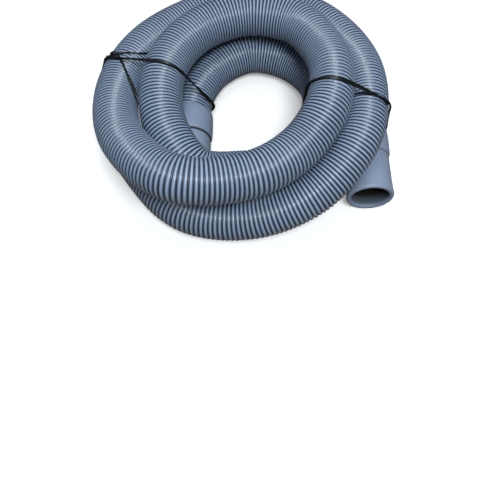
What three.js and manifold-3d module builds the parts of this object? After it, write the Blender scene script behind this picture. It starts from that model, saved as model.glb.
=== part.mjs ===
// A washing machine drain hose, put away as a coil that two thin twist ties hold together.
// Millimetres, +Z up. The coil lies flat, and the origin is under its middle, on the floor.

import * as THREE from 'three';
import { mergeVertices } from 'three/addons/utils/BufferGeometryUtils.js';
import Module from 'manifold-3d';

const wasm = await Module();
wasm.setup();

// Driving dimensions

const HOSE_DIAMETER = 24.5;
const HOSE_WALL = 3;

const SLEEVE_WALL = 1.25;
const SLEEVE_LENGTH = 17.5;
const SOCKET_DEPTH = 15.2;
const NOZZLE_BORE = 21;
const NOZZLE_WALL = 2.4;
const MOUTH_FLARE = 0.6;
const MOUTH_FLARE_LENGTH = 7;
const LIP_ROUNDING = 0.8;
const STEP_LENGTH = 0.7;
const INNER_NOZZLE_LENGTH = 13;
const OUTER_NOZZLE_LENGTH = 26;

const TIE_DIAMETER = 1.3;
const KNOT_LOOP_DIAMETER = 5.5;

const SOCKET_CLEARANCE = 0.4;
const TIE_CLEARANCE = 0.4;

// How finely round things are faceted

const HOSE_SIDES = 14;
const HOSE_BORE_SIDES = 8;
const HOSE_STEPS = 136;
const CUFF_SIDES = 28;
const TIE_SIDES = 6;
const TIE_STEPS = 66;
const TAIL_STEPS = 12;
const KNOT_STEPS = 12;
const RINGS_PER_STATION = 20;
const PLACES_PER_RING = 40;

// The route of the hose's middle line. It is laid clockwise seen from above, one station every
// STATION_ANGLE degrees. Each station gives the distance from the coil's middle and the height
// above the floor, in hose diameters. The ends run straight into their cuffs.

const FIRST_STATION_ANGLE = 150;
const STATION_ANGLE = 30;
const STATIONS = [
  // innermost turn, on the floor, then climbing over the inner cuff
  [1.58, 0.58], [1.84, 0.54], [2.11, 0.55], [2.16, 0.51], [2.04, 0.56], [1.79, 0.59], [1.77, 0.53],
  [1.79, 0.56], [1.79, 0.92], [2.33, 1.41], [2.16, 1.65], [2.02, 1.8],
  // second turn, on top, widening at the front
  [2.01, 1.8], [2.08, 1.78], [2.17, 1.79], [2.18, 1.8], [1.91, 1.98], [1.81, 2.18], [1.9, 2.17],
  [2.08, 1.94], [2.5, 1.98], [3.09, 2.17], [3.15, 1.91], [3.05, 1.61],
  // third turn, beside the second, sinking to the floor at the front
  [2.96, 1.42], [3, 1.24], [3.17, 1.26], [3.07, 1.24], [2.82, 1.42], [2.68, 1.63], [2.76, 1.57],
  [2.81, 1.09], [2.83, 0.66], [2.98, 0.53], [2.98, 0.56], [3.31, 0.58],
  // last half turn, on the floor under the third
  [3.6, 0.6], [3.75, 0.52], [3.95, 0.51], [3.8, 0.51], [3.39, 0.53], [2.86, 0.59],
];

// Straight ends: across, along and height, in hose diameters from the coil's middle.
// The first and the last of these points are the two cut ends of the hose.

const INNER_END = [[-1.49, -0.55, 0.57], [-1.49, -0.22, 0.57], [-1.49, 0.12, 0.57]];
const OUTER_END = [[2.81, -0.48, 0.57], [2.81, -0.8, 0.57], [2.81, -1.12, 0.57]];

// Each tie lies in one plane. The plane meets the floor between two places, one inside the
// coil and one outside it, and leans towards the front by a share of its height.

const LEFT_TIE = { inside: [-0.76, 0.5], outside: [-4.32, 1.44], lean: 0.28 };
const RIGHT_TIE = { inside: [0.9, 0.15], outside: [4, -0.29], lean: 0.24 };

// The left tie's knot and its two tails lie on the third turn. A place there is a number of
// stations along the hose and an angle round it, 0 at the coil's outside and 90 on top.

const KNOT = [26.38, 74];
const LONG_TAIL_END = [25.75, 152];
const SHORT_TAIL_END = [26.69, 142];

// Materials

const hoseMaterial = new THREE.MeshStandardMaterial({ color: 0x76889f, roughness: 0.42, metalness: 0 });
const cuffMaterial = new THREE.MeshStandardMaterial({ color: 0x74869e, roughness: 0.5, metalness: 0 });
const tieMaterial = new THREE.MeshStandardMaterial({ color: 0x15171b, roughness: 0.45, metalness: 0 });

// Route

function scaled(place) {
  return new THREE.Vector3(...place).multiplyScalar(HOSE_DIAMETER);
}

function routePoints() {
  const coiled = STATIONS.map(([radius, height], i) => {
    const angle = THREE.MathUtils.degToRad(FIRST_STATION_ANGLE - i * STATION_ANGLE);
    return scaled([radius * Math.cos(angle), radius * Math.sin(angle), height]);
  });
  return [...INNER_END.map(scaled), ...coiled, ...OUTER_END.map(scaled)];
}

const points = routePoints();
const route = new THREE.CatmullRomCurve3(points, false, 'centripetal');
const lastStation = points.length - 1;

// A place beside the route: outward is level, away from the coil's middle.
function besideRoute(station, angle, distance) {
  const at = station / lastStation;
  const along = route.getTangent(at);
  const outward = new THREE.Vector3(-along.y, along.x, 0).normalize();
  const upward = new THREE.Vector3().crossVectors(along, outward);
  const turn = THREE.MathUtils.degToRad(angle);
  return route.getPoint(at)
    .addScaledVector(outward, distance * Math.cos(turn))
    .addScaledVector(upward, distance * Math.sin(turn));
}

// Swept and joined solids

function circlePoints(radius, sides) {
  return Array.from({ length: sides }, (_, i) => {
    const turn = (2 * Math.PI * i) / sides;
    return new THREE.Vector2(radius * Math.cos(turn), radius * Math.sin(turn));
  });
}

function strandGeometry(curve, steps) {
  const section = new THREE.Shape(circlePoints(TIE_DIAMETER / 2, TIE_SIDES));
  return new THREE.ExtrudeGeometry(section, { steps, extrudePath: curve });
}

function toSolid(geometry) {
  const bare = geometry.clone();
  bare.deleteAttribute('normal');
  bare.deleteAttribute('uv');
  const merged = mergeVertices(bare);
  return new wasm.Manifold(new wasm.Mesh({
    numProp: 3,
    vertProperties: new Float32Array(merged.attributes.position.array),
    triVerts: new Uint32Array(merged.index.array),
  }));
}

function toGeometry(solid) {
  const mesh = solid.getMesh();
  const geometry = new THREE.BufferGeometry();
  const places = new Float32Array(mesh.vertProperties);
  geometry.setAttribute('position', new THREE.BufferAttribute(places, 3));
  geometry.setIndex(new THREE.BufferAttribute(new Uint32Array(mesh.triVerts), 1));
  geometry.computeVertexNormals();
  return geometry;
}

// Hose and cuffs

function hoseGeometry() {
  const radius = HOSE_DIAMETER / 2;
  const section = new THREE.Shape(circlePoints(radius, HOSE_SIDES));
  section.holes.push(new THREE.Path(circlePoints(radius - HOSE_WALL, HOSE_BORE_SIDES).reverse()));
  return new THREE.ExtrudeGeometry(section, { steps: HOSE_STEPS, extrudePath: route });
}

// A cuff is turned about Y, with the hose's cut end at 0 and the mouth at +Y. Its sleeve
// slides over the hose, and its nozzle narrows a little and flares again at the mouth.
function cuffGeometry(nozzleLength) {
  const socket = HOSE_DIAMETER / 2 + SOCKET_CLEARANCE;
  const sleeve = socket + SLEEVE_WALL;
  const bore = NOZZLE_BORE / 2;
  const nozzle = bore + NOZZLE_WALL;
  const mouth = nozzle + MOUTH_FLARE;
  const rim = -SOCKET_DEPTH;
  const shoulder = SLEEVE_LENGTH - SOCKET_DEPTH;
  const end = shoulder + nozzleLength;
  const round = LIP_ROUNDING;
  const profile = [
    [socket, rim], [sleeve - round / 2, rim], [sleeve, rim + round / 2],
    [sleeve, shoulder - round / 2], [sleeve - round / 2, shoulder], [nozzle, shoulder + STEP_LENGTH],
    [nozzle, end - MOUTH_FLARE_LENGTH], [mouth, end - 2 * round],
    [mouth, end - round], [mouth - round / 4, end - round / 4], [mouth - round, end],
    [bore + round, end], [bore + round / 4, end - round / 4], [bore, end - round],
    [bore, SOCKET_CLEARANCE], [socket, SOCKET_CLEARANCE], [socket, rim],
  ];
  const outline = profile.map(([radius, along]) => new THREE.Vector2(radius, along));
  return new THREE.LatheGeometry(outline, CUFF_SIDES);
}

// Ties

const tieDistance = (HOSE_DIAMETER + TIE_DIAMETER) / 2 + TIE_CLEARANCE;

// Rings of places round the hose, at a tie's distance from it, all along the route.
const rings = Array.from({ length: lastStation * RINGS_PER_STATION + 1 }, (_, i) => (
  Array.from({ length: PLACES_PER_RING }, (__, k) => (
    besideRoute(i / RINGS_PER_STATION, (360 * k) / PLACES_PER_RING, tieDistance)
  ))
));

// The taut line round all the strands that a tie's plane cuts: the hull of their sections.
function tautLoop({ inside, outside, lean }) {
  const start = scaled([...inside, 0]);
  const level = scaled([...outside, 0]).sub(start);
  const reach = level.length();
  level.normalize();
  const upward = new THREE.Vector3(0, -lean, 1);
  upward.addScaledVector(level, -upward.dot(level)).normalize();
  const normal = new THREE.Vector3().crossVectors(level, upward);
  const offPlane = (place) => place.clone().sub(start).dot(normal);
  const cuts = [];
  for (let i = 1; i < rings.length; i += 1) {
    rings[i].forEach((after, k) => {
      const before = rings[i - 1][k];
      const a = offPlane(before);
      const b = offPlane(after);
      const cut = before.clone().lerp(after, a / (a - b)).sub(start);
      const across = cut.dot(level);
      if (a * b <= 0 && across > 0 && across < reach) cuts.push([across, cut.dot(upward)]);
    });
  }
  const corners = hull(cuts).map(([across, up]) => (
    start.clone().addScaledVector(level, across).addScaledVector(upward, up)
  ));
  const straight = new THREE.CatmullRomCurve3(corners, true, 'catmullrom', 0);
  return new THREE.CatmullRomCurve3(straight.getSpacedPoints(TIE_STEPS).slice(1), true);
}

// The corners of the smallest outline that holds all the places, in order round it.
function hull(places) {
  const sorted = [...places].sort((a, b) => a[0] - b[0] || a[1] - b[1]);
  const turnsIn = (a, b, c) => (b[0] - a[0]) * (c[1] - a[1]) <= (b[1] - a[1]) * (c[0] - a[0]);
  const side = (list) => {
    const chain = [];
    for (const place of list) {
      while (chain.length > 1 && turnsIn(chain.at(-2), chain.at(-1), place)) {
        chain.pop();
      }
      chain.push(place);
    }
    return chain.slice(0, -1);
  };
  return [...side(sorted), ...side(sorted.reverse())];
}

function loopGeometry(tie) {
  return strandGeometry(tautLoop(tie), TIE_STEPS);
}

// A tail crosses the strand under the knot and tucks into the crevice beside it.
function tailGeometry(end) {
  const line = Array.from({ length: TAIL_STEPS + 1 }, (_, i) => {
    const [station, angle] = KNOT.map((from, k) => THREE.MathUtils.lerp(from, end[k], i / TAIL_STEPS));
    return besideRoute(station, angle, tieDistance);
  });
  return strandGeometry(new THREE.CatmullRomCurve3(line), TAIL_STEPS);
}

// The twisted ends of the tie stand up from it as a small ring.
function knotGeometry() {
  const radius = (KNOT_LOOP_DIAMETER - TIE_DIAMETER) / 2;
  const place = besideRoute(...KNOT, tieDistance + radius);
  const ring = new THREE.TorusGeometry(radius, TIE_DIAMETER / 2, TIE_SIDES, KNOT_STEPS);
  ring.rotateX(Math.PI / 2);
  ring.translate(...place);
  return ring;
}

function leftTieGeometry() {
  const joined = [knotGeometry(), tailGeometry(LONG_TAIL_END), tailGeometry(SHORT_TAIL_END)]
    .map(toSolid)
    .reduce((all, next) => all.add(next), toSolid(loopGeometry(LEFT_TIE)));
  return toGeometry(joined);
}

// The assembly

function piece(name, geometry, material) {
  const mesh = new THREE.Mesh(geometry, material);
  mesh.name = name;
  return mesh;
}

function cuff(name, hoseEnd, nozzleLength) {
  const mesh = piece(name, cuffGeometry(nozzleLength), cuffMaterial);
  mesh.position.copy(hoseEnd);
  mesh.rotation.x = Math.PI;
  return mesh;
}

const group = new THREE.Group();
group.add(piece('corrugated_hose', hoseGeometry(), hoseMaterial));
group.add(cuff('inner_end_cuff', points[0], INNER_NOZZLE_LENGTH));
group.add(cuff('outer_end_cuff', points[lastStation], OUTER_NOZZLE_LENGTH));
group.add(piece('left_twist_tie', leftTieGeometry(), tieMaterial));
group.add(piece('right_twist_tie', loopGeometry(RIGHT_TIE), tieMaterial));

// The origin is under the middle of the whole part.
group.updateMatrixWorld(true);
const box = new THREE.Box3().setFromObject(group, true);
group.position.set(-(box.min.x + box.max.x) / 2, -(box.min.y + box.max.y) / 2, -box.min.z);

export default group;
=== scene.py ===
import math

import bpy
import numpy as np
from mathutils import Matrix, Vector
from mathutils.geometry import convex_hull_2d


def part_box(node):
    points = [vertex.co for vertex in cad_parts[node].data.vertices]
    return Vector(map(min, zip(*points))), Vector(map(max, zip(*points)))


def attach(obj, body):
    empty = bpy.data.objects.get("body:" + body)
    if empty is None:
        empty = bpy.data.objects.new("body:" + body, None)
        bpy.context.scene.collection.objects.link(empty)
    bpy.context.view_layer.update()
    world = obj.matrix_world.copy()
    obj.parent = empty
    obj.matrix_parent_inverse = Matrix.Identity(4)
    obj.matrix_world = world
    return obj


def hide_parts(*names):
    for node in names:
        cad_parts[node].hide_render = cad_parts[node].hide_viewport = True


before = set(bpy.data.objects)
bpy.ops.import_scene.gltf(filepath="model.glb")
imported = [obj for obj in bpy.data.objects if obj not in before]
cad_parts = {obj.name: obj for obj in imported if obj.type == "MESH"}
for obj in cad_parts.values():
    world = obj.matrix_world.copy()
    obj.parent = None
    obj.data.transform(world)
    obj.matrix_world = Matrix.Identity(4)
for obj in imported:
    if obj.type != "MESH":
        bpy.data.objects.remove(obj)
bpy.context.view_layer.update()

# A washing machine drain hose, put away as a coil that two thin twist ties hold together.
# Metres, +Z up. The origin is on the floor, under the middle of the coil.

# Sizes of the hose, its cuffs and its ties

HOSE_DIAMETER = 0.0245
HOSE_BORE = 0.0185
HOSE_SIDES = 26
BORE_STEPS = 180

ROUTE_STEPS = 2400
GROOVE_DEPTH = 0.001
GRAIN_DEPTH = 0.0002

SLEEVE_DIAMETER = 0.0278
SLEEVE_LENGTH = 0.0175
SOCKET_DEPTH = 0.0152
NOZZLE_DIAMETER = 0.0258
NOZZLE_BORE = 0.021
MOUTH_DIAMETER = 0.027
INNER_NOZZLE_LENGTH = 0.013
OUTER_NOZZLE_LENGTH = 0.026
CUFF_SIDES = 96
SOCKET_CLEARANCE = 0.0001
# Painted shade: how deep into the bore it grows to full darkness, how much rougher the shaded plastic is,
# and how wide and how dark the seam at each cuff's step is painted.
BORE_SHADE_DEPTH = 0.0035
BORE_DULLNESS = 0.45
SEAM_WIDTH = 0.0005
INNER_SEAM_SHADE = 0.9
OUTER_SEAM_SHADE = 0.4

TIE_LIFT = 0.00075
TIE_WIDTH = 0.002
TIE_THICKNESS = 0.0012
THIN_TAIL = 0.6
RING_THICKNESS = 0.8
HALF_TWIST_LENGTH = 0.045
TIE_STEP = 0.0011
FEWEST_TIE_STEPS = 16
CURL_LIFT = 1.5 * TIE_LIFT
LOOP_RINGS_PER_STATION = 16
LOOP_ANGLE_STEP = 6

KNOT_RING_RADIUS = 0.0018
KNOT_WRAP_RADIUS = 0.001
KNOT_WRAPS = 2.5
KNOT_WRAP_LIFT = 0.6
KNOT_WRAP_ANGLE = 14
KNOT_STEPS = 40
LAYING_STEPS = 8

# Half of a tie's section: how far across and how far up, in shares of half its width and half
# its thickness. The wire in its middle is a low ridge. The other half is the same one turned.

TIE_SECTION = [
    (1.0, 0.0), (0.93, 0.38), (0.6, 0.48), (0.3, 0.85),
    (0.0, 1.0), (-0.3, 0.85), (-0.6, 0.48), (-0.93, 0.38),
]

# A rib's profile: how far along the rib, how much of the groove's depth is cut there, and a shading
# value: 0 in the groove, which is painted near black as shade, rising to 1 on the crest, in the plastic's
# own colour.

RIB_PROFILE = [
    (0.0, 1.0, 0.0), (0.15, 0.28, 0.42), (0.35, 0.02, 0.96), (0.65, 0.02, 0.96), (0.85, 0.28, 0.42),
]

# How far apart the ribs lie at each station, in millimetres. A program measured them in the
# photograph, and the stretches that it doesn't show are filled in from their neighbours.

RIB_PITCHES = [
    2.2, 2.2, 2.2, 2.21, 2.3, 2.2, 2.22, 2.17, 2.16, 2.15, 2.14, 2.14,
    2.13, 2.02, 1.85, 2.05, 2.09, 2.12, 2.33, 2.4, 2.08, 1.75, 2.2, 2.33,
    2.0, 2.12, 2.16, 2.12, 2.17, 2.26, 2.34, 2.36, 2.04, 1.9, 2.19, 2.5,
    2.3, 2.27, 2.27, 2.27, 2.27, 2.27, 2.27, 2.27, 2.27, 2.27, 2.27, 2.27,
]

# The route of the hose's middle line, as the solids have it. It is laid clockwise seen from
# above, one station every STATION_ANGLE degrees. Each station gives the distance from the
# coil's middle and the height above the floor, in hose diameters. A program fitted these
# numbers to the photograph, and four of them were then corrected.

FIRST_STATION_ANGLE = 150
STATION_ANGLE = 30
STATIONS = [
    (1.58, 0.58), (1.84, 0.54), (2.11, 0.55), (2.16, 0.51), (2.04, 0.56), (1.79, 0.59), (1.77, 0.53),
    (1.79, 0.56), (1.79, 0.92), (2.33, 1.41), (2.16, 1.65), (2.02, 1.8),
    (2.01, 1.8), (2.08, 1.78), (2.17, 1.79), (2.18, 1.8), (1.91, 1.98), (1.81, 2.18), (1.9, 2.17),
    (2.08, 1.94), (2.5, 1.98), (3.09, 2.17), (3.15, 1.91), (3.05, 1.61),
    (2.96, 1.42), (3, 1.24), (3.17, 1.26), (3.07, 1.24), (2.82, 1.42), (2.68, 1.63), (2.76, 1.57),
    (2.81, 1.09), (2.83, 0.66), (2.98, 0.53), (2.98, 0.56), (3.31, 0.58),
    (3.6, 0.6), (3.75, 0.52), (3.95, 0.51), (3.8, 0.51), (3.39, 0.53), (2.86, 0.59),
]

# Straight ends: across, along and height, in hose diameters from the coil's middle.

INNER_END = [(-1.49, -0.55, 0.57), (-1.49, -0.22, 0.57), (-1.49, 0.12, 0.57)]
OUTER_END = [(2.81, -0.48, 0.57), (2.81, -0.8, 0.57), (2.81, -1.12, 0.57)]

# Each tie lies in a plane that meets the floor between a place inside the coil and one outside
# it, in hose diameters, and leans towards the front by a share of its height. These numbers,
# and most of the places below, were fitted to the photograph by a program too.

LEFT_TIE = {"inside": (-0.76, 0.5), "outside": (-4.32, 1.44), "lean": 0.28}
RIGHT_TIE = {"inside": (0.9, 0.15), "outside": (4, -0.29), "lean": 0.24}

# What lies beside a loop goes through places on the hose. Each is a number of stations along
# it and an angle round it, 0 at the coil's outside and 90 on top.

KNOT = (26.3, 82)
KNOT_RING = (26.3, 81)
LONG_TAIL = [
    (26.32, 86), (26.22, 102), (26.09, 116), (25.95, 130), (25.82, 144), (25.7, 159), (25.64, 173),
]
SHORT_TAIL = [(26.37, 80), (26.42, 93), (26.47, 108), (26.55, 124), (26.67, 140)]
CURL = [(26.31, 76), (26.36, 50), (26.46, 24), (26.5, 4), (26.45, -4)]
SECOND_STRAND = [(32.39, 140), (32.38, 121), (32.39, 103), (32.41, 86), (32.43, 65), (32.45, 40)]

# The camera: heights above the floor and distances in front of the coil's middle.

CAMERA_HEIGHT = 0.26705
CAMERA_FORWARD = 0.1927
AIM_FORWARD = 0.0821
LENS = 36
SENSOR = 36

# The floor is pale near the coil, where its shadow lies, and turns white farther out. The coil
# gets a dim, warm bounce from it.

FLOOR_SIZE = 8
FLOOR_DROP = 0.0002
FLOOR_FADE_START = 0.25
FLOOR_FADE_END = 0.9
FLOOR_COLOUR = (0.86, 0.86, 0.86, 1)
FLOOR_GLOW = 0.3
FLOOR_BOUNCE = (0.16, 0.12, 0.095, 1)

# The room's light: its colour at the horizon and below, low down, and high up.

ROOM_STRENGTH = 0.21
ROOM_COLOURS = [(0.0, (0.5, 0.39, 0.31)), (0.3, (0.74, 0.7, 0.66)), (0.7, (0.8, 0.9, 1.0))]

# The lamps: name, place, size, power and colour. They all point at the origin.

LAMPS = [
    ("main lamp", (0.1, -0.38, 0.75), 0.26, 5.3, (0.92, 0.97, 1.0)),
    ("overhead lamp", (0.0, 0.12, 0.8), 0.4, 1.4, (0.98, 0.99, 1.0)),
    ("side lamp", (-0.7, -0.35, 0.45), 0.5, 0.2, (0.9, 0.95, 1.0)),
    ("back lamp", (0.1, 0.75, 0.45), 0.5, 0.9, (0.97, 0.98, 1.0)),
]


# Route

def part_shift():
    """Where the coil's middle lies in the part's frame, found from the outer cuff's box."""
    low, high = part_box("outer_end_cuff")
    across, along, height = [HOSE_DIAMETER * value for value in OUTER_END[-1]]
    mouth = along - (SLEEVE_LENGTH - SOCKET_DEPTH) - OUTER_NOZZLE_LENGTH
    return Vector(((low[0] + high[0]) / 2 - across, low[1] - mouth, (low[2] + high[2]) / 2 - height))


COIL = part_shift()


def scaled(place):
    """A place given in hose diameters from the coil's middle, in the part's frame."""
    return HOSE_DIAMETER * Vector(place) + COIL


def route_points():
    coiled = []
    for number, (radius, height) in enumerate(STATIONS):
        angle = math.radians(FIRST_STATION_ANGLE - number * STATION_ANGLE)
        coiled.append(scaled((radius * math.cos(angle), radius * math.sin(angle), height)))
    return [scaled(place) for place in INNER_END] + coiled + [scaled(place) for place in OUTER_END]


POINTS = route_points()
LAST_STATION = len(POINTS) - 1


def on_route(station):
    """The place on the smooth curve through the stations (a centripetal Catmull-Rom curve)."""
    number = min(int(station), LAST_STATION - 1)
    share = station - number
    here, there = POINTS[number], POINTS[number + 1]
    behind = POINTS[number - 1] if number else 2 * here - there
    beyond = POINTS[number + 2] if number + 2 <= LAST_STATION else 2 * there - here
    chord = there - here
    before = (here - behind).length ** 0.5
    between = chord.length ** 0.5
    after = (beyond - there).length ** 0.5
    leave = ((here - behind) / before - (there - behind) / (before + between) + chord / between) * between
    arrive = (chord / between - (beyond - here) / (between + after) + (beyond - there) / after) * between
    square = 3 * chord - 2 * leave - arrive
    cube = 2 * (here - there) + leave + arrive
    return here + share * (leave + share * (square + share * cube))


def beside_route(station, angle, distance):
    """A place beside the hose's middle line: 0 degrees is level and outward, 90 is on top."""
    step = 0.01
    low, high = max(station - step, 0), min(station + step, LAST_STATION)
    along = (on_route(high) - on_route(low)).normalized()
    outward = Vector((-along.y, along.x, 0)).normalized()
    upward = along.cross(outward)
    turn = math.radians(angle)
    return on_route(station) + distance * (math.cos(turn) * outward + math.sin(turn) * upward)


# Camera and light

def make_camera():
    data = bpy.data.cameras.new("camera")
    data.lens = LENS
    data.sensor_width = SENSOR
    camera = bpy.data.objects.new("camera", data)
    bpy.context.collection.objects.link(camera)
    floor = Vector((COIL.x, COIL.y, 0))
    camera.location = floor + Vector((0, -CAMERA_FORWARD, CAMERA_HEIGHT))
    aim = floor + Vector((0, -AIM_FORWARD, 0))
    camera.rotation_euler = (aim - camera.location).to_track_quat("-Z", "Y").to_euler()
    bpy.context.scene.camera = camera


def make_lamp(name, place, size, power, colour):
    data = bpy.data.lights.new(name, "AREA")
    data.shape = "DISK"
    data.size = size
    data.energy = power
    data.color = colour
    lamp = bpy.data.objects.new(name, data)
    bpy.context.collection.objects.link(lamp)
    lamp.location = place
    lamp.rotation_euler = (-Vector(place)).to_track_quat("-Z", "Y").to_euler()


def make_world():
    world = bpy.data.worlds.new("studio")
    world.use_nodes = True
    nodes, links = world.node_tree.nodes, world.node_tree.links
    background = nodes["Background"]
    seen = nodes.new("ShaderNodeBackground")
    seen.inputs["Color"].default_value = (1, 1, 1, 1)
    coordinates = nodes.new("ShaderNodeTexCoord")
    direction = nodes.new("ShaderNodeSeparateXYZ")
    links.new(coordinates.outputs["Generated"], direction.inputs[0])
    room = ramp(nodes, links, direction.outputs["Z"], ROOM_COLOURS)
    links.new(room, background.inputs["Color"])
    background.inputs["Strength"].default_value = ROOM_STRENGTH
    light_path = nodes.new("ShaderNodeLightPath")
    mix = nodes.new("ShaderNodeMixShader")
    links.new(light_path.outputs["Is Camera Ray"], mix.inputs[0])
    links.new(background.outputs[0], mix.inputs[1])
    links.new(seen.outputs[0], mix.inputs[2])
    links.new(mix.outputs[0], nodes["World Output"].inputs["Surface"])
    bpy.context.scene.world = world


def floor_material():
    material = bpy.data.materials.new("pale floor")
    material.use_nodes = True
    nodes, links = material.node_tree.nodes, material.node_tree.links
    nodes.clear()
    seen = nodes.new("ShaderNodeBsdfDiffuse")
    seen.inputs["Color"].default_value = FLOOR_COLOUR
    lift = nodes.new("ShaderNodeEmission")
    lift.inputs["Strength"].default_value = FLOOR_GLOW
    lifted = nodes.new("ShaderNodeAddShader")
    far = nodes.new("ShaderNodeEmission")
    coordinates = nodes.new("ShaderNodeTexCoord")
    distance = nodes.new("ShaderNodeVectorMath")
    distance.operation = "LENGTH"
    fade = nodes.new("ShaderNodeMapRange")
    fade.interpolation_type = "SMOOTHSTEP"
    fade.inputs["From Min"].default_value = FLOOR_FADE_START
    fade.inputs["From Max"].default_value = FLOOR_FADE_END
    whitened = nodes.new("ShaderNodeMixShader")
    bounce = nodes.new("ShaderNodeBsdfDiffuse")
    bounce.inputs["Color"].default_value = FLOOR_BOUNCE
    light_path = nodes.new("ShaderNodeLightPath")
    mix = nodes.new("ShaderNodeMixShader")
    output = nodes.new("ShaderNodeOutputMaterial")
    links.new(seen.outputs[0], lifted.inputs[0])
    links.new(lift.outputs[0], lifted.inputs[1])
    links.new(coordinates.outputs["Object"], distance.inputs[0])
    links.new(distance.outputs["Value"], fade.inputs["Value"])
    links.new(fade.outputs["Result"], whitened.inputs[0])
    links.new(lifted.outputs[0], whitened.inputs[1])
    links.new(far.outputs[0], whitened.inputs[2])
    links.new(light_path.outputs["Is Camera Ray"], mix.inputs[0])
    links.new(bounce.outputs[0], mix.inputs[1])
    links.new(whitened.outputs[0], mix.inputs[2])
    links.new(mix.outputs[0], output.inputs["Surface"])
    return material


def make_floor():
    bpy.ops.object.select_all(action="DESELECT")
    bpy.ops.mesh.primitive_plane_add(size=FLOOR_SIZE, location=(0, 0, -FLOOR_DROP))
    floor = bpy.context.object
    floor.name = "floor"
    floor.data.materials.append(floor_material())


# Materials

def plastic(name, roughness):
    """A new plastic material, with its nodes, links, shader and texture coordinates."""
    material = bpy.data.materials.new(name)
    material.use_nodes = True
    nodes, links = material.node_tree.nodes, material.node_tree.links
    shader = nodes["Principled BSDF"]
    shader.inputs["Roughness"].default_value = roughness
    coordinates = nodes.new("ShaderNodeTexCoord")
    return material, nodes, links, shader, coordinates


def noise(nodes, links, coordinates, scale, detail):
    """Noise on Object coordinates; its scale is in lumps for each metre."""
    node = nodes.new("ShaderNodeTexNoise")
    node.inputs["Scale"].default_value = scale
    node.inputs["Detail"].default_value = detail
    links.new(coordinates.outputs["Object"], node.inputs["Vector"])
    return node.outputs["Fac"]


def ramp(nodes, links, source, stops):
    """A colour ramp on a source socket, from a list of (position, colour)."""
    node = nodes.new("ShaderNodeValToRGB")
    elements = node.color_ramp.elements
    while len(elements) < len(stops):
        elements.new(0.5)
    for element, (position, colour) in zip(elements, stops):
        element.position = position
        element.color = (*colour, 1)
    links.new(source, node.inputs["Fac"])
    return node.outputs["Color"]


def multiplied(nodes, links, first, second):
    """The product of two colour sockets."""
    node = nodes.new("ShaderNodeMix")
    node.data_type = "RGBA"
    node.blend_type = "MULTIPLY"
    node.inputs["Factor"].default_value = 1.0
    links.new(first, node.inputs["A"])
    links.new(second, node.inputs["B"])
    return node.outputs["Result"]


def spread_between(nodes, links, source, low, high):
    """A source socket's 0 to 1 turned into low to high."""
    node = nodes.new("ShaderNodeMapRange")
    node.inputs["To Min"].default_value = low
    node.inputs["To Max"].default_value = high
    links.new(source, node.inputs["Value"])
    return node.outputs["Result"]


def grain(nodes, links, shader, source, strength):
    """A fine bump from a source socket."""
    node = nodes.new("ShaderNodeBump")
    node.inputs["Strength"].default_value = strength
    node.inputs["Distance"].default_value = GRAIN_DEPTH
    links.new(source, node.inputs["Height"])
    links.new(node.outputs["Normal"], shader.inputs["Normal"])


def hose_material():
    material, nodes, links, shader, coordinates = plastic("ribbed hose plastic", 0.42)
    shader.inputs["Coat Weight"].default_value = 0.45
    shader.inputs["Coat Roughness"].default_value = 0.2
    # The rib value paints shade into the colour: the grooves and the bore are painted near black as
    # shade, and the crests keep the plastic's own colour.
    rib = nodes.new("ShaderNodeAttribute")
    rib.attribute_name = "rib"
    ribbed = ramp(nodes, links, rib.outputs["Fac"], [
        (0.0, (0.008, 0.017, 0.04)),
        (0.45, (0.035, 0.058, 0.105)),
        (0.8, (0.2, 0.268, 0.385)),
        (1.0, (0.315, 0.395, 0.53)),
    ])
    cloudy = noise(nodes, links, coordinates, scale=55, detail=3)
    clouds = ramp(nodes, links, cloudy, [
        (0.3, (0.86, 0.88, 0.9)),
        (0.7, (1.0, 0.99, 0.98)),
    ])
    links.new(multiplied(nodes, links, ribbed, clouds), shader.inputs["Base Color"])
    rubbed = noise(nodes, links, coordinates, scale=420, detail=2)
    rough = spread_between(nodes, links, rubbed, low=0.36, high=0.48)
    links.new(rough, shader.inputs["Roughness"])
    fine = noise(nodes, links, coordinates, scale=2600, detail=2)
    grain(nodes, links, shader, fine, strength=0.12)
    return material


def cuff_material():
    material, nodes, links, shader, coordinates = plastic("smooth cuff rubber", 0.45)
    cloudy = noise(nodes, links, coordinates, scale=90, detail=4)
    clouds = ramp(nodes, links, cloudy, [
        (0.3, (0.215, 0.275, 0.39)),
        (0.7, (0.255, 0.31, 0.42)),
    ])
    # The shade attribute paints shade into the colour: the bore turns near black with depth, and the seam
    # at the sleeve's step is darker.
    shade = nodes.new("ShaderNodeAttribute")
    shade.attribute_name = "shade"
    painted_shade = ramp(nodes, links, shade.outputs["Fac"], [
        (0.0, (1.0, 1.0, 1.0)),
        (1.0, (0.006, 0.006, 0.005)),
    ])
    links.new(multiplied(nodes, links, clouds, painted_shade), shader.inputs["Base Color"])
    rubbed = noise(nodes, links, coordinates, scale=500, detail=3)
    rough = spread_between(nodes, links, rubbed, low=0.4, high=0.55)
    dull = nodes.new("ShaderNodeMath")
    dull.operation = "MULTIPLY_ADD"
    dull.inputs[1].default_value = BORE_DULLNESS
    links.new(shade.outputs["Fac"], dull.inputs[0])
    links.new(rough, dull.inputs[2])
    links.new(dull.outputs["Value"], shader.inputs["Roughness"])
    fine = noise(nodes, links, coordinates, scale=1800, detail=3)
    grain(nodes, links, shader, fine, strength=0.2)
    return material


def tie_material():
    material, nodes, links, shader, coordinates = plastic("black tie plastic", 0.4)
    shader.inputs["Specular IOR Level"].default_value = 0.3
    cloudy = noise(nodes, links, coordinates, scale=700, detail=2)
    colour = ramp(nodes, links, cloudy, [
        (0.35, (0.003, 0.004, 0.006)),
        (0.65, (0.008, 0.01, 0.014)),
    ])
    links.new(colour, shader.inputs["Base Color"])
    return material


# Mesh builders

def finish_piece(piece, material):
    """Gives a finished piece its material and its body."""
    piece.data.materials.append(material)
    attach(piece, "root")
    return piece


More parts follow.
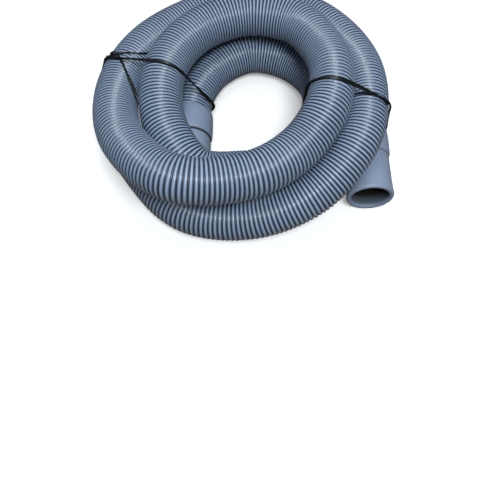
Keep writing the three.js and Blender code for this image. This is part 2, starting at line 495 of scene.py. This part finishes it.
def skin(name, rings, looped):
    """A smooth mesh through rings of as many places each. Looped joins the last to the first,
    and otherwise both ends are closed."""
    sides = len(rings[0])
    places = [place for ring in rings for place in ring]
    faces = []
    for number in range(len(rings) if looped else len(rings) - 1):
        first = number * sides
        second = (number + 1) % len(rings) * sides
        for k in range(sides):
            after = (k + 1) % sides
            faces.append((first + k, first + after, second + after, second + k))
    if not looped:
        faces.append(tuple(reversed(range(sides))))
        faces.append(tuple(range(len(places) - sides, len(places))))
    mesh = bpy.data.meshes.new(name)
    mesh.from_pydata(places, [], faces)
    mesh.shade_smooth()
    piece = bpy.data.objects.new(name, mesh)
    bpy.context.collection.objects.link(piece)
    return piece


def turn_outwards(piece):
    """Makes all the piece's faces point outwards."""
    bpy.ops.object.select_all(action="DESELECT")
    bpy.context.view_layer.objects.active = piece
    piece.select_set(True)
    bpy.ops.object.mode_set(mode="EDIT")
    bpy.ops.mesh.select_all(action="SELECT")
    bpy.ops.mesh.normals_make_consistent(inside=False)
    bpy.ops.object.mode_set(mode="OBJECT")
    piece.select_set(False)


# Hose

class Line:
    """A line through places, walked by distance."""

    def __init__(self, places):
        self.places = np.array(places)
        gaps = np.linalg.norm(np.diff(self.places, axis=0), axis=1)
        self.along = np.concatenate([[0], np.cumsum(gaps)])
        self.length = float(self.along[-1])

    def at(self, distance):
        return Vector([float(np.interp(distance, self.along, self.places[:, k])) for k in range(3)])

    def direction(self, distance):
        reach = 0.001
        low, high = max(distance - reach, 0), min(distance + reach, self.length)
        return (self.at(high) - self.at(low)).normalized()


def rib_pitch(station):
    """How far apart the ribs lie at a station, in metres."""
    return float(np.interp(station, range(len(RIB_PITCHES)), RIB_PITCHES)) / 1000


def hose_ring(line, distance, radius):
    along = line.direction(distance)
    outward = Vector((-along.y, along.x, 0)).normalized()
    upward = along.cross(outward)
    centre = line.at(distance)
    ring = []
    for k in range(HOSE_SIDES):
        turn = 2 * math.pi * k / HOSE_SIDES
        ring.append(centre + radius * (math.cos(turn) * outward + math.sin(turn) * upward))
    return ring


def make_hose(material):
    stations = [LAST_STATION * step / ROUTE_STEPS for step in range(ROUTE_STEPS + 1)]
    line = Line([on_route(station) for station in stations])
    rings, ribs, centres = [], [], []
    distance = 0.0
    while distance < line.length:
        pitch = rib_pitch(np.interp(distance, line.along, stations))
        for share, cut, groove_shading in RIB_PROFILE:
            at = min(distance + share * pitch, line.length)
            rings.append(hose_ring(line, at, HOSE_DIAMETER / 2 - cut * GROOVE_DEPTH))
            ribs.append(groove_shading)
            centres.append(line.at(at))
        distance += pitch
    # The bore gets the same painted shade as the bottom of the grooves.
    for step in range(BORE_STEPS, -1, -1):
        at = line.length * step / BORE_STEPS
        rings.append(hose_ring(line, at, HOSE_BORE / 2))
        ribs.append(0.0)
    hose = skin("ribbed_hose", rings, looped=True)
    attribute = hose.data.attributes.new("rib", "FLOAT", "POINT")
    attribute.data.foreach_set("value", np.repeat(ribs, HOSE_SIDES))
    turn_outwards(hose)
    finish_piece(hose, material)
    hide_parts("corrugated_hose")
    return hose, centres


# Cuffs

def cuff_profile(nozzle_length):
    """A cuff's outline from the sleeve's rim to the mouth and back through the bore, as pairs of
    a radius and a distance from the hose's cut end towards the mouth."""
    sleeve = SLEEVE_DIAMETER / 2
    nozzle = NOZZLE_DIAMETER / 2
    bore = NOZZLE_BORE / 2
    mouth = MOUTH_DIAMETER / 2
    socket = HOSE_DIAMETER / 2 + SOCKET_CLEARANCE
    rim = -SOCKET_DEPTH
    shoulder = SLEEVE_LENGTH - SOCKET_DEPTH
    end = shoulder + nozzle_length
    rounded_rim = [
        (socket, rim + 0.0006), (socket + 0.0003, rim + 0.0001), (sleeve - 0.0011, rim),
        (sleeve - 0.0005, rim + 0.0003), (sleeve - 0.0003, rim + 0.001),
    ]
    sleeve_wall = [
        (sleeve - 0.0001, rim + 0.004), (sleeve, rim + 0.008), (sleeve - 0.0001, shoulder - 0.003),
    ]
    step_down = [
        (sleeve - 0.0002, shoulder - 0.0016), (sleeve - 0.0005, shoulder - 0.0008),
        (sleeve - 0.0009, shoulder - 0.0002), (nozzle - 0.0003, shoulder + 0.0002),
        (nozzle - 0.0004, shoulder + 0.0006), (nozzle - 0.0001, shoulder + 0.001),
    ]
    nozzle_wall = [
        (nozzle, shoulder + 0.0018), (nozzle, shoulder + 0.3 * nozzle_length),
        (nozzle + 0.0001, shoulder + 0.6 * nozzle_length),
    ]
    lip = [
        (mouth - 0.0002, end - 0.003), (mouth, end - 0.0016), (mouth - 0.0001, end - 0.0008),
        (mouth - 0.0005, end - 0.0002), (mouth - 0.0011, end), (bore + 0.0009, end - 0.0001),
        (bore + 0.0004, end - 0.0005), (bore + 0.0001, end - 0.0013), (bore, end - 0.0025),
    ]
    bore_wall = [
        (bore, end - 0.3 * nozzle_length), (bore, end - 0.5 * nozzle_length), (bore, 0.008),
        (bore, 0.0025), (bore - 0.0002, 0.0008),
    ]
    socket_wall = [(socket, 0.0006), (socket, -0.006)]
    return rounded_rim + sleeve_wall + step_down + nozzle_wall + lip + bore_wall + socket_wall


def shade_cuff(cuff, hose_end, height, nozzle_length, seam_shade):
    """Marks the painted shade as "shade": the bore, painted darker with its depth, and the seam at the
    sleeve's step.
    """
    across = sum(vertex.co.x for vertex in cuff.data.vertices) / len(cuff.data.vertices)
    shoulder = SLEEVE_LENGTH - SOCKET_DEPTH
    wall_middle = (NOZZLE_BORE + NOZZLE_DIAMETER) / 4
    shades = []
    for vertex in cuff.data.vertices:
        along = hose_end - vertex.co.y
        radius = math.hypot(vertex.co.x - across, vertex.co.z - height)
        if radius < wall_middle:
            depth = shoulder + nozzle_length - along
            shades.append(min(max(depth / BORE_SHADE_DEPTH, 0), 1))
        else:
            in_seam = abs(along - shoulder - SEAM_WIDTH / 2) < SEAM_WIDTH
            shades.append(seam_shade if in_seam else 0.0)
    attribute = cuff.data.attributes.new("shade", "FLOAT", "POINT")
    attribute.data.foreach_set("value", shades)


def make_cuff(node, nozzle_length, seam_shade, material):
    """Turns a cuff by extruding a circle along its outline. The mouth points to -Y."""
    low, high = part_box(node)
    across, height = (low[0] + high[0]) / 2, (low[2] + high[2]) / 2
    hose_end = low[1] + SLEEVE_LENGTH - SOCKET_DEPTH + nozzle_length
    profile = cuff_profile(nozzle_length)
    radius, along = profile[0]
    bpy.ops.object.select_all(action="DESELECT")
    bpy.ops.mesh.primitive_circle_add(
        vertices=CUFF_SIDES, radius=radius, location=(across, hose_end - along, height),
        rotation=(math.pi / 2, 0, 0))
    cuff = bpy.context.object
    cuff.name = node.replace("end_cuff", "cuff")
    bpy.ops.object.transform_apply(location=True, rotation=True, scale=True)
    bpy.ops.object.mode_set(mode="EDIT")
    bpy.ops.mesh.select_all(action="SELECT")
    bpy.context.scene.tool_settings.transform_pivot_point = "MEDIAN_POINT"
    for new_radius, new_along in profile[1:]:
        bpy.ops.mesh.extrude_region_move(
            TRANSFORM_OT_translate={"value": (0, along - new_along, 0)})
        ratio = new_radius / radius
        bpy.ops.transform.resize(
            value=(ratio, 1, ratio), center_override=(across, hose_end - new_along, height))
        radius, along = new_radius, new_along
    bpy.ops.mesh.select_non_manifold()
    bpy.ops.mesh.bridge_edge_loops()
    bpy.ops.mesh.select_all(action="SELECT")
    bpy.ops.mesh.normals_make_consistent(inside=False)
    bpy.ops.mesh.faces_shade_smooth()
    bpy.ops.object.mode_set(mode="OBJECT")
    shade_cuff(cuff, hose_end, height, nozzle_length, seam_shade)
    finish_piece(cuff, material)
    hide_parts(node)
    return cuff


# Ties

def tie_loop(tie):
    """The taut line round all the strands that a tie's plane cuts, as places along it."""
    start = scaled((*tie["inside"], 0))
    level = scaled((*tie["outside"], 0)) - start
    reach = level.length
    level.normalize()
    upward = Vector((0, -tie["lean"], 1))
    upward = (upward - upward.dot(level) * level).normalized()
    normal = level.cross(upward)
    distance = HOSE_DIAMETER / 2 + TIE_LIFT
    cuts = []
    for angle in range(0, 360, LOOP_ANGLE_STEP):
        before = None
        for number in range(LAST_STATION * LOOP_RINGS_PER_STATION + 1):
            place = beside_route(number / LOOP_RINGS_PER_STATION, angle, distance) - start
            off = place.dot(normal)
            if before is not None and off * before[0] <= 0:
                share = before[0] / (before[0] - off)
                cut = before[1].lerp(place, share)
                if 0 < cut.dot(level) < reach:
                    cuts.append((cut.dot(level), cut.dot(upward)))
            before = (off, place)
    corners = [cuts[k] for k in convex_hull_2d(cuts)]
    corners.append(corners[0])
    return [start + across * level + up * upward for across, up in corners]


def laid(route_places, lift=TIE_LIFT):
    """A line over the hose through places given by station and angle."""
    line = []
    for (station, angle), (next_station, next_angle) in zip(route_places, route_places[1:]):
        for k in range(LAYING_STEPS):
            share = k / LAYING_STEPS
            line.append(beside_route(
                station + share * (next_station - station),
                angle + share * (next_angle - angle), HOSE_DIAMETER / 2 + lift))
    line.append(beside_route(*route_places[-1], HOSE_DIAMETER / 2 + lift))
    return line


def make_strip(name, places, material, looped=False, scale=1.0):
    """A flat strip with a wire in its middle, laid along a line and slowly turning over."""
    line = Line(places)
    half_twists = max(1, round(line.length / HALF_TWIST_LENGTH))
    steps = max(FEWEST_TIE_STEPS, round(line.length / TIE_STEP))
    section = TIE_SECTION + [(-across, -up) for across, up in TIE_SECTION]
    side = line.direction(0).orthogonal().normalized()
    rings = []
    for step in range(steps if looped else steps + 1):
        distance = line.length * step / steps
        along = line.direction(distance)
        side = (side - side.dot(along) * along).normalized()
        other = along.cross(side)
        spin = math.pi * half_twists * step / steps
        flat = math.cos(spin) * side + math.sin(spin) * other
        proud = math.cos(spin) * other - math.sin(spin) * side
        centre = line.at(distance)
        rings.append([
            centre + scale * (across * TIE_WIDTH / 2 * flat + up * TIE_THICKNESS / 2 * proud)
            for across, up in section])
    strip = skin(name, rings, looped)
    turn_outwards(strip)
    return finish_piece(strip, material)


def station_length(station):
    """How far the hose runs, in metres, along one station from here."""
    step = 0.1
    return (on_route(station + step) - on_route(station)).length / step


def knot_wraps():
    """Turns wound round the loop where it is knotted."""
    station, angle = KNOT
    shift = KNOT_WRAP_RADIUS / station_length(station)
    places = []
    for k in range(KNOT_STEPS + 1):
        share = k / KNOT_STEPS
        turn = 2 * math.pi * KNOT_WRAPS * share
        places.append(beside_route(
            station + shift * math.cos(turn), angle + KNOT_WRAP_ANGLE * (share - 0.5),
            HOSE_DIAMETER / 2 + TIE_LIFT + KNOT_WRAP_RADIUS * (KNOT_WRAP_LIFT + math.sin(turn))))
    return places


def knot_ring():
    """The small ring that the twisted ends leave above the knot."""
    station, angle = KNOT_RING
    spread = math.degrees(2 * KNOT_RING_RADIUS / HOSE_DIAMETER)
    places = []
    for k in range(KNOT_STEPS + 1):
        turn = 2 * math.pi * k / KNOT_STEPS
        places.append(beside_route(
            station, angle + spread * math.cos(turn),
            HOSE_DIAMETER / 2 + TIE_LIFT + KNOT_RING_RADIUS * (1 + math.sin(turn))))
    return places


def make_left_tie(material):
    loop = make_strip("left_tie_loop", tie_loop(LEFT_TIE), material, looped=True)
    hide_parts("left_twist_tie")
    make_strip("left_tie_knot", knot_wraps(), material)
    make_strip("left_tie_ring", knot_ring(), material, looped=True, scale=RING_THICKNESS)
    make_strip("left_tie_long_tail", laid(LONG_TAIL), material)
    make_strip("left_tie_short_tail", laid(SHORT_TAIL), material, scale=THIN_TAIL)
    make_strip("left_tie_curl", laid(CURL, CURL_LIFT), material, scale=THIN_TAIL)


def make_right_tie(material):
    loop = make_strip("right_tie_loop", tie_loop(RIGHT_TIE), material, looped=True)
    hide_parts("right_twist_tie")
    make_strip("right_tie_second_strand", laid(SECOND_STRAND), material, scale=THIN_TAIL)


# The scene

bpy.context.scene.view_settings.view_transform = "Standard"
make_camera()
make_world()
make_floor()
for lamp in LAMPS:
    make_lamp(*lamp)

hose, hose_centres = make_hose(hose_material())
cuffs_finish = cuff_material()
inner_cuff = make_cuff("inner_end_cuff", INNER_NOZZLE_LENGTH, INNER_SEAM_SHADE, cuffs_finish)
outer_cuff = make_cuff("outer_end_cuff", OUTER_NOZZLE_LENGTH, OUTER_SEAM_SHADE, cuffs_finish)
ties_finish = tie_material()
make_left_tie(ties_finish)
make_right_tie(ties_finish)
